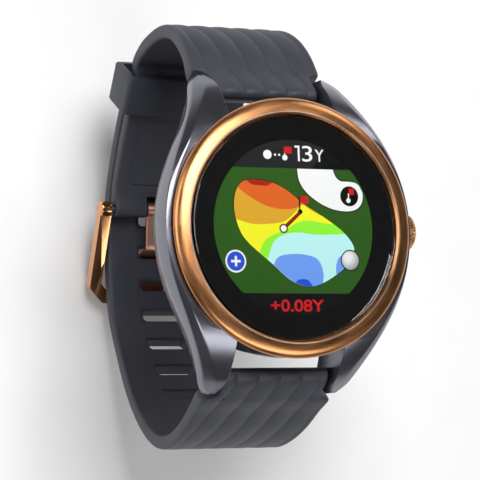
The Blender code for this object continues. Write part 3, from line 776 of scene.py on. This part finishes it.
# ---------------------------------------------------------------- crown
def build_crown(material):
    flutes = 32
    face, back = CROWN_HIGH.x, CROWN_LOW.x
    sections = []
    stations = [(back, 0.86, 0), (back + 0.02, 0.9, 0), (back + 0.22, 1.0, 0.2), (back + 0.4, 1.0, 1),
                (face - 0.75, 1.0, 1), (face - 0.5, 1.0, 0.3), (face - 0.38, 0.965, 0), (face - 0.2, 0.9, 0),
                (face - 0.06, 0.8, 0), (face - 0.02, 0.72, 0), (face - 0.09, 0.68, 0), (face - 0.09, 0.3, 0),
                (face - 0.02, 0.02, 0)]
    count = flutes * 8
    for x, scale, fluting in stations:
        ring = []
        for k in range(count):
            angle = math.tau * k / count
            dip = 0.5 - 0.5 * math.cos(angle * flutes)
            radius = CROWN_R * scale - 0.16 * fluting * dip ** 2
            ring.append((x, radius * math.cos(angle), CROWN_Z + radius * math.sin(angle)))
        sections.append(ring)
    crown = wrapped("crown_knob", sections)
    combine(crown, [rod(0.95, CROWN_LOW.x - 0.6, CROWN_LOW.x + 1.3, 0, CROWN_Z, 24)])
    finish_piece(crown, "crown", material, ["crown_cap"], 40.0)


# ---------------------------------------------------------------- case back
def build_case_back(case_metal, steel, gold):
    plate_profile = rounded([(0, 0), (15.2, 0), (15.35, 0.12), (15.6, 0.12), (15.75, 0), (19.8, 0),
                             (20.4, 0.6), (20.4, 1.5), (16.95, 1.5), (16.95, 2.7), (15.7, 2.7), (15.7, 1.4),
                             (0, 1.4)], 0.08, 2, sharp=(0, 12))
    back = turned("case_back_finished", plate_profile, 144)
    well = [(0, -1), (1.65, -1), (1.65, 0), (1.5, 0.15), (1.5, 0.95), (0.8, 0.95), (0.8, 2), (0, 2)]
    tools = []
    for number in range(1, 5):
        screw = centre_mm(f"case_screw_{number}")
        tools.append(turned("screw_well", well, 32, (screw.x, screw.y, 0)))
        tools.append(upright_pin("contact_hole", 0.9, -1, 2, 24, centre_mm(f"charge_contact_{number}")))
    combine(back, tools)
    finish_piece(back, "watch_case", case_metal, ["case_back"])
    head = [(0, 0.12), (0.95, 0.12), (1.12, 0.2), (1.2, 0.35), (1.2, 0.75), (0.5, 0.75), (0.5, 4.4), (0, 4.4)]
    pin = [(0, 0.08), (0.35, 0.08), (0.52, 0.14), (0.6, 0.28), (0.6, 2.3), (0, 2.3)]
    for number in range(1, 5):
        screw = centre_mm(f"case_screw_{number}")
        piece = turned(f"back_screw_{number}", head, 40, (screw.x, screw.y, 0))
        combine(piece, [plate("key_socket", circle(screw.x, screw.y, 0.55, 6), -0.5, 0.5)])
        finish_piece(piece, "watch_case", steel, [f"case_screw_{number}"])
        contact = centre_mm(f"charge_contact_{number}")
        piece = turned(f"charge_pin_{number}", pin, 32, (contact.x, contact.y, 0))
        finish_piece(piece, "watch_case", gold, [f"charge_contact_{number}"])


# ---------------------------------------------------------------- band
# Side view of each strap: outer face (Y, Z), inner face (Y, Z) and half width, from the nose to the tail.
UPPER_ROWS = [
    ((23.36, 3.2), (23.36, 1.6), 9.85), ((23.45, 4.2), (23.6, 0.4), 9.85), ((23.9, 5.0), (24.1, -0.6), 9.85),
    ((24.7, 5.3), (25.0, -1.2), 9.85), ((25.6, 4.85), (25.6, -1.5), 9.85), ((26.5, 4.0), (26.2, -1.7), 9.85),
    ((28.0, 2.35), (26.9, -1.9), 9.95), ((28.7, 1.6), (27.2, -2.0), 10.7),
    ((29.1, 1.15), (27.35, -2.05), 11.9), ((29.5, 0.85), (27.6, -2.1), 12.4),
    ((33.2, -1.6), (31.4, -3.8), 12.3), ((36.6, -5.2), (34.6, -7.0), 12.1),
    ((38.9, -9.6), (36.7, -10.7), 11.8), ((40.0, -15.0), (37.5, -15.3), 11.5),
    ((39.7, -20.6), (37.2, -20.3), 11.2), ((38.6, -25.8), (36.2, -24.8), 10.9),
    ((36.3, -29.85), (34.75, -27.85), 10.7),
]
LOWER_ROWS = [
    ((-23.36, 3.2), (-23.36, 1.6), 9.85), ((-23.45, 4.2), (-23.6, 0.4), 9.85),
    ((-23.9, 5.0), (-24.1, -0.6), 9.85), ((-24.7, 5.3), (-25.0, -1.2), 9.85),
    ((-25.6, 4.85), (-25.4, -1.5), 9.85), ((-26.5, 4.0), (-25.8, -1.7), 9.85),
    ((-27.9, 2.0), (-26.1, -1.9), 9.95), ((-28.5, 1.1), (-26.3, -2.05), 10.7),
    ((-28.85, 0.6), (-26.5, -2.15), 11.9), ((-29.15, 0.1), (-26.8, -2.4), 12.4),
    ((-29.95, -1.55), (-27.6, -3.6), 12.38), ((-30.9, -3.6), (-28.6, -5.1), 12.3),
    ((-33.6, -8.6), (-31.3, -9.6), 12.1), ((-35.6, -14.0), (-33.2, -14.5), 11.8),
    ((-36.4, -19.4), (-33.9, -19.3), 11.5), ((-35.3, -25.6), (-33.0, -24.6), 11.2),
    ((-31.6, -31.8), (-29.7, -30.2), 11.0),
]
TAIL_FACE = [
    (-25.6, -37.6), (-18.6, -42.7), (-11.2, -46.1), (-4.5, -47.25), (2.5, -47.45), (9.5, -46.95),
    (15.5, -45.3), (20.3, -43.0), (24.6, -40.6), (28.1, -38.3), (31.6, -36.0), (35.0, -33.77),
]
TAIL_HALF_X = 10.3
STRAP_T = 2.5
STRAP_STEP = 0.5
STRAP_COLUMNS = 200
LAYER_GAP = 0.3
OVERLAP_FROM = 6
RIB_PITCH = 4.2
RIB_DEPTH = 0.42
RIB_SLANT = -0.12
RIB_MIDDLE = 0.62
PLAIN_LEVEL = 0.16
RIBS_FROM = 2.7
RIBS_TO = 33.0
TONGUE_SLOT_Y = 1.7
SLOT_PITCH = 6.5
SLOT_COUNT = 9
SLOTS_BEFORE_TIP = 3


def offset_row(index, depth_outer, depth_inner, half_x):
    """Row of a strap layer at two depths inside the tail's outer face."""
    before = Vector(TAIL_FACE[max(index - 1, 0)])
    after = Vector(TAIL_FACE[min(index + 1, len(TAIL_FACE) - 1)])
    along = (after - before).normalized()
    inward = Vector((-along.y, along.x))
    here = Vector(TAIL_FACE[index])
    return (tuple(here + inward * depth_outer), tuple(here + inward * depth_inner), half_x)


def upper_rows():
    layer = STRAP_T + LAYER_GAP
    inside = [offset_row(i, layer, layer + STRAP_T, TAIL_HALF_X)
              for i in range(OVERLAP_FROM, len(TAIL_FACE))]
    end = [((11.6, -43.6), (11.5, -40.75), 10.2), ((9.7, -43.75), (9.7, -40.65), 10.2),
           ((8.7, -43.3), (8.7, -41.1), 10.2), ((8.5, -42.7), (8.5, -41.7), 10.0)]
    return UPPER_ROWS + list(reversed(inside)) + end


def lower_rows():
    tail = [offset_row(i, 0.0, STRAP_T, TAIL_HALF_X + 0.5 * (i == 0)) for i in range(len(TAIL_FACE))]
    return LOWER_ROWS + tail


def fine_rows(rows, step):
    """The side view in short, even steps along the outer face: distance, outer, inner, half width."""
    run = [Vector((*outer, *inner, half)) for outer, inner, half in rows]
    smooth = catmull(run, 12)
    travelled = [0.0]
    for a, b in zip(smooth, smooth[1:]):
        travelled.append(travelled[-1] + math.hypot(b[0] - a[0], b[1] - a[1]))
    count = max(2, round(travelled[-1] / step))
    result, k = [], 0
    for i in range(count + 1):
        goal = travelled[-1] * i / count
        while k < len(travelled) - 2 and travelled[k + 1] < goal:
            k += 1
        t = (goal - travelled[k]) / max(1e-9, travelled[k + 1] - travelled[k])
        row = smooth[k].lerp(smooth[k + 1], min(1.0, max(0.0, t)))
        result.append((goal, Vector((row[0], row[1])), Vector((row[2], row[3])), row[4]))
    return result


def smoothstep(value, low, high):
    t = min(1.0, max(0.0, (value - low) / (high - low)))
    return t * t * (3 - 2 * t)


def rib_relief(x, travelled, half_x, phase):
    """Height of the diagonal ribs: round crests, sharp valleys, rounded ends at the nose, plain margins."""
    position = (x - RIB_SLANT * travelled - phase) / RIB_PITCH
    u = position - math.floor(position)
    crest = (1 - (2 * u - 1) ** 2) ** 0.75
    corner = max(0.0, 1 - u / 0.4) ** 2 * 1.5
    start = smoothstep(travelled, RIBS_FROM + corner - 0.35, RIBS_FROM + corner + 0.35)
    fade = 1 - smoothstep(travelled, RIBS_TO - 9.0, RIBS_TO)
    margin = smoothstep(half_x - abs(x), 0.9, 2.1)
    ribbed = (crest - RIB_MIDDLE) * RIB_DEPTH
    return (ribbed * margin + PLAIN_LEVEL * RIB_DEPTH * (1 - margin)) * start * fade


def strap_section(travelled, outer, inner, half_x, columns, phase):
    """Closed section across the strap: ribbed outer face, rounded edges and a flat inner face."""
    deep = inner - outer
    thick = deep.length
    inward = deep.normalized()
    edge = min(0.55, thick * 0.4)
    points = []

    def put(x, depth):
        place = outer + inward * depth
        points.append((x, place.x, place.y))

    flat = half_x - edge
    for k in range(columns + 1):
        x = flat * (2 * k / columns - 1)
        put(x, -rib_relief(x, travelled, half_x, phase))
    arc = [math.radians(a) for a in (22.5, 45, 67.5, 90)]
    for a in arc:
        put(flat + edge * math.sin(a), edge * (1 - math.cos(a)))
    for a in reversed(arc):
        put(flat + edge * math.sin(a), thick - edge * (1 - math.cos(a)))
    inner_columns = 28
    for k in range(inner_columns + 1):
        x = flat * (1 - 2 * k / inner_columns)
        put(x, thick)
    for a in arc:
        put(-flat - edge * math.sin(a), thick - edge * (1 - math.cos(a)))
    for a in reversed(arc):
        put(-flat - edge * math.sin(a), edge * (1 - math.cos(a)))
    return points


def face_frame(rows, distance):
    """Matrix on the strap's outer face at a distance from the nose: X across, Y along, Z outwards."""
    for (s0, a, _, _), (s1, b, _, _) in zip(rows, rows[1:]):
        if distance <= s1:
            along = (b - a).normalized()
            place = a.lerp(b, (distance - s0) / (s1 - s0))
            out = Vector((0, -along.y, along.x))
            run = Vector((0, along.x, along.y))
            turn = Matrix((Vector((1, 0, 0)), run, out)).transposed().to_4x4()
            return Matrix.Translation((0, place.x, place.y)) @ turn
    return None


def slot_cutter(rows, distance):
    """A slot with round ends, and the shallow rim round it on the inner face."""
    place = face_frame(rows, distance)
    slot = block("slot", (-4.0, -1.05, -2.0), (4.0, 1.05, 4.2), 0.8, 3)
    rim = block("slot_rim", (-4.6, -1.5, STRAP_T - 0.22), (4.6, 1.5, 4.2), 0.5, 2)
    return [shift(slot, place), shift(rim, place)]


def panel_cutter(rows):
    """Shallow rounded panel sunk into the inner face of the upper strap, between keeper and buckle."""
    stretch = [(outer, inner) for _, outer, inner, _ in rows if outer.y < -30 and 14.0 <= inner.x <= 26.0]
    far, sunk = ([inner - (outer - inner).normalized() * depth for outer, inner in stretch]
                 for depth in (2.0, -0.3))
    corner = 1.2
    sections = []
    for i, (top, base) in enumerate(zip(far, sunk)):
        left = max(0.0, corner - min(i, len(stretch) - 1 - i) * STRAP_STEP)
        half = 8.1 - (corner - math.sqrt(max(0.0, corner ** 2 - left ** 2)))
        sections.append([(half, top.x, top.y), (half, base.x, base.y),
                         (-half, base.x, base.y), (-half, top.x, top.y)])
    return wrapped("panel", sections)


def nose_cutters(bar):
    window = block("lever_window", (3.0, bar.y - 0.8, bar.z - 5.0), (6.9, bar.y + 0.8, bar.z))
    return [rod(1.0, -10.5, 10.5, bar.y, bar.z, 32), window]


def build_straps(material):
    rows = fine_rows(upper_rows(), STRAP_STEP)
    upper = wrapped("upper_strap_finished", [strap_section(*row, STRAP_COLUMNS, 0.2) for row in rows])
    notch = block("tongue_notch", (-3.9, 7.0, -46.0), (3.9, 12.3, -39.0))
    combine(upper, [*nose_cutters(BAR[1]), rod(0.85, -11, 11, PIVOT.y, PIVOT.z), notch, panel_cutter(rows)])
    finish_piece(upper, "band", material, ["strap_upper"], 50.0)

    rows = fine_rows(lower_rows(), STRAP_STEP)
    lower = wrapped("lower_strap_finished", [strap_section(*row, STRAP_COLUMNS, 0.9) for row in rows])
    tongue_slot = next(s for s, outer, _, _ in rows if outer.x > TONGUE_SLOT_Y and outer.y < -40)
    slots = [tool for n in range(SLOT_COUNT)
             for tool in slot_cutter(rows, tongue_slot + (SLOTS_BEFORE_TIP - n) * SLOT_PITCH)]
    combine(lower, [*nose_cutters(BAR[-1]), *slots])
    finish_piece(lower, "band", material, ["strap_lower"], 50.0)


# ---------------------------------------------------------------- keeper and buckle
KEEPER_AT = (33.0, -35.1)
KEEPER_SLOPE = 33.3


def build_keeper(material):
    """Loop round both strap layers: a rounded wall swept about a rounded rectangle."""
    place = Matrix.Translation((0, *KEEPER_AT)) @ Matrix.Rotation(math.radians(KEEPER_SLOPE), 4, "X")
    clear = 0.35
    wall = 1.2
    half_x = TAIL_HALF_X + 0.4 + clear
    low, high = -clear, 2 * STRAP_T + LAYER_GAP + clear
    width = 7.5
    ring = rounded([(-half_x - wall, low - wall), (half_x + wall, low - wall), (half_x + wall, high + wall),
                    (-half_x - wall, high + wall)], 1.0, 5)
    bore = rounded([(-half_x, low), (half_x, low), (half_x, high), (-half_x, high)], 0.25, 2)
    upright = Matrix.Rotation(math.radians(90), 4, "X")
    keeper = plate("keeper_finished", ring, -width / 2, width / 2, 0.4, upright)
    combine(keeper, [plate("hollow", bore, -width, width, 0.0, upright)])
    shift(keeper, place)
    finish_piece(keeper, "keeper_loop", material, ["keeper"], 35.0)


FRAME_TILT = 26.0
FRAME_LENGTH = 18.7
FRAME_HALF_X = 13.0
FRAME_ARM = 2.2
FRAME_T = 1.9


def build_buckle(polished, satin):
    outer, inner, end = FRAME_HALF_X, FRAME_HALF_X - FRAME_ARM, FRAME_LENGTH
    corner = 3.0
    crossbar = end - 1.9
    outline = [(outer, 0.6), (outer, corner - end), (outer - corner, -end), (corner - outer, -end),
               (-outer, corner - end), (-outer, 0.6), (-inner, 0.6), (-inner, corner - 1.0 - crossbar),
               (corner - 1.0 - inner, -crossbar), (inner - corner + 1.0, -crossbar),
               (inner, corner - 1.0 - crossbar), (inner, 0.6)]
    place = Matrix.Translation(PIVOT) @ Matrix.Rotation(math.radians(FRAME_TILT), 4, "X")
    buckle = plate("buckle_frame_finished", rounded(outline, 0.5, 4, sharp=(0, 5, 6, 11)),
                   -FRAME_T / 2, FRAME_T / 2, 0.0, place)
    for side in (-1, 1):
        boss = [(0, side * inner), (1.5, side * inner), (1.5, side * outer), (0, side * outer)]
        combine(buckle, [turned("boss", rounded(boss, 0.3, 3, sharp=(0, 3)), 40, (0, PIVOT.y, PIVOT.z), "X")],
                "UNION")
    bevel_edges(buckle, 0.42, 4, 40.0)
    combine(buckle, side_rods(0.85, 10, 12.6, PIVOT.y, PIVOT.z))
    finish_piece(buckle, "buckle", polished, ["buckle_frame"], 35.0)

    path = [(8.95, -42.35), (8.0, -42.45), (5.6, -42.75), (3.0, -43.2), (2.25, -44.2), (1.3, -47.5),
            (0.3, -49.0), (-3.2, -50.5), (-7.6, -52.6)]
    half = 3.4
    sections = []
    smooth = catmull(path, 4)
    for i, here in enumerate(smooth):
        along = (smooth[min(i + 1, len(smooth) - 1)] - smooth[max(i - 1, 0)]).normalized()
        side = Vector((-along.y, along.x)) * 0.4
        corners = [(half, here.x + side.x, here.y + side.y), (half, here.x - side.x, here.y - side.y),
                   (-half, here.x - side.x, here.y - side.y), (-half, here.x + side.x, here.y + side.y)]
        sections.append(rounded(corners, 0.22, 3))
    knuckle = rounded([(0.85, -3.5), (1.45, -3.5), (1.45, 3.5), (0.85, 3.5)], 0.12, 2)
    tongue = turned("buckle_tongue_finished", knuckle, 40, (0, PIVOT.y, PIVOT.z), "X")
    combine(tongue, [wrapped("tongue_plate", sections)], "UNION")
    finish_piece(tongue, "tongue", satin, ["buckle_tongue"], 35.0)


# ---------------------------------------------------------------- finishes
def build_materials():
    rose = (0.6, 0.27, 0.11, 1.0)
    return {
        "slate": grained("slate_metal", (0.17, 0.17, 0.2, 1.0), 0.22, 0.9, 5000.0, 0.004, 0.08),
        # The paler ring at 19.96 mm is a painted highlight on the bezel's inner chamfer.
        "bezel": turned_metal("rose_gold_brushed", rose, 0.3, painted_highlight_ring=19.96, amount=0.22),
        "crown": turned_metal("rose_gold_crown", (0.45, 0.22, 0.1, 1.0), 0.25, (0, 0, CROWN_Z), "X"),
        "polished": grained("rose_gold_polished", (0.78, 0.38, 0.17, 1.0), 0.16, 1.0, 2500.0, 0.004, 0.06,
                            0.04),
        "satin": grained("rose_gold_satin_plate", (0.8, 0.43, 0.3, 1.0), 0.38, 1.0, 5000.0, 0.006, 0.06),
        "glass": grained_glass(),
        "mask": grained("glass_print", (0.002, 0.002, 0.002, 1.0), 0.5, 0.0, 4000.0, 0.002,
                        Specular_IOR_Level=0.05),
        "silicone": grained("band_silicone", (0.034, 0.036, 0.049, 1.0), 0.55, 0.0, 4500.0, 0.015, 0.1),
        "black": grained("black_moulding", (0.012, 0.012, 0.013, 1.0), 0.45),
        "seal": grained("seal_rubber_skin", (0.015, 0.015, 0.016, 1.0), 0.7),
        "steel": grained("turned_steel", (0.56, 0.56, 0.57, 1.0), 0.3, 1.0, 4000.0, 0.006),
        "gold": grained("gold_plating", (0.85, 0.6, 0.25, 1.0), 0.2, 1.0, 3000.0, 0.004),
        "board": grained("solder_mask", (0.015, 0.12, 0.05, 1.0), 0.35, 0.0, 2000.0, 0.03, 0.3),
        "foil": grained("battery_wrap", (0.6, 0.61, 0.63, 1.0), 0.35, 0.9, 800.0, 0.05, 0.1),
        "ceramic": grained("fired_ceramic", (0.5, 0.42, 0.3, 1.0), 0.6, 0.0, 3500.0, 0.03, 0.2),
        "film": grained("polyimide_film", (0.6, 0.3, 0.05, 1.0), 0.3, 0.0, 1500.0, 0.01),
        "panel": grained("display_glass_stack", (0.01, 0.01, 0.012, 1.0), 0.2),
    }


def grained_glass():
    """Clear glass, its polish broken only by a trace of smear."""
    material, tree, shader = new_material("clear_glass", 0.02, IOR=1.5, Transmission_Weight=1.0)
    grain = use_group(tree, GRAIN, {"Scale": 400.0})
    vary_roughness(tree, shader, grain["Patches"], 0.0, 0.03)
    shader.inputs["Base Color"].default_value = (0.97, 0.98, 0.98, 1.0)
    return material


def screen_colours():
    shades = {
        "grass": (0.17, 0.36, 0.08), "header": (0.13, 0.13, 0.135), "black": (0.01, 0.01, 0.01),
        "outline": (0.06, 0.1, 0.03), "yellow": (1.0, 1.0, 0.15), "amber": (0.91, 0.68, 0.17),
        "orange": (0.91, 0.41, 0.13), "dark_red": (0.7, 0.11, 0.04), "lime": (0.6, 1.0, 0.22),
        "pale_cyan": (0.78, 1.0, 1.0), "sky": (0.45, 0.65, 1.0), "deep_blue": (0.12, 0.33, 0.88),
        "white": (1.0, 1.0, 1.0), "red": (0.85, 0.1, 0.12), "button_blue": (0.17, 0.33, 0.85),
        "aim_red": (0.72, 0.06, 0.08),
    }
    colours = {name: lit(f"screen_{name}", linear(*shade)) for name, shade in shades.items()}
    colours["ball"] = lit_ball()
    return colours


def lit_ball():
    """A ball drawn on the screen: white at its upper left, grey at its lower right."""
    material, tree, shader = new_lit("screen_ball")
    bright_spot = (10.1 * MM, -5.1 * MM, (SCREEN_Z + 13 * LAYER) * MM)
    away = calculate_vector(tree, "DISTANCE", object_place(tree), bright_spot)
    shade = remap(tree, away, 0.6 * MM, 2.3 * MM, 0.95, 0.3)
    light_up(tree, shader, add_node(tree, "ShaderNodeCombineXYZ", {0: shade, 1: shade, 2: shade}).outputs[0])
    return material


CARRIED_OVER = {
    "black": ["display_frame", "inner_frame", "encoder_wheel", "crown_plunger", "push_switch"],
    "seal": ["lens_gasket", "back_gasket", "crown_o_ring"],
    "steel": ["gnss_module", "vibration_motor", "crown_tube", "crown_stem", "buckle_bar", "upper_bar_tube",
              "upper_bar_plunger", "upper_bar_release_pin", "lower_bar_tube", "lower_bar_plunger",
              "lower_bar_release_pin"],
    "board": ["main_board"],
    "foil": ["battery"],
    "ceramic": ["patch_antenna"],
    "film": ["display_flex"],
    "panel": ["display_panel"],
}


def dress_frame_nodes(materials):
    for finish, nodes in CARRIED_OVER.items():
        for node in nodes:
            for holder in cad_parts[node].material_slots:
                holder.material = materials[finish]


def lay_floor():
    deselect()
    bpy.ops.mesh.primitive_plane_add(size=3.0, location=(0, 0, FLOOR_Z * MM))
    floor = bpy.context.object
    floor.name = "floor"
    floor.data.materials.append(grained("pale_floor", (0.9, 0.9, 0.9, 1.0), 0.7, 0.0, 200.0, 0.0, 0.01))


place_camera()
light_studio()
lay_floor()
finishes = build_materials()
dress_frame_nodes(finishes)
build_case(finishes["slate"])
build_bezel(finishes["bezel"])
build_lens(finishes["glass"], finishes["mask"])
build_screen(screen_colours())
build_crown(finishes["crown"])
build_case_back(finishes["slate"], finishes["steel"], finishes["gold"])
build_straps(finishes["silicone"])
build_keeper(finishes["silicone"])
build_buckle(finishes["polished"], finishes["satin"])
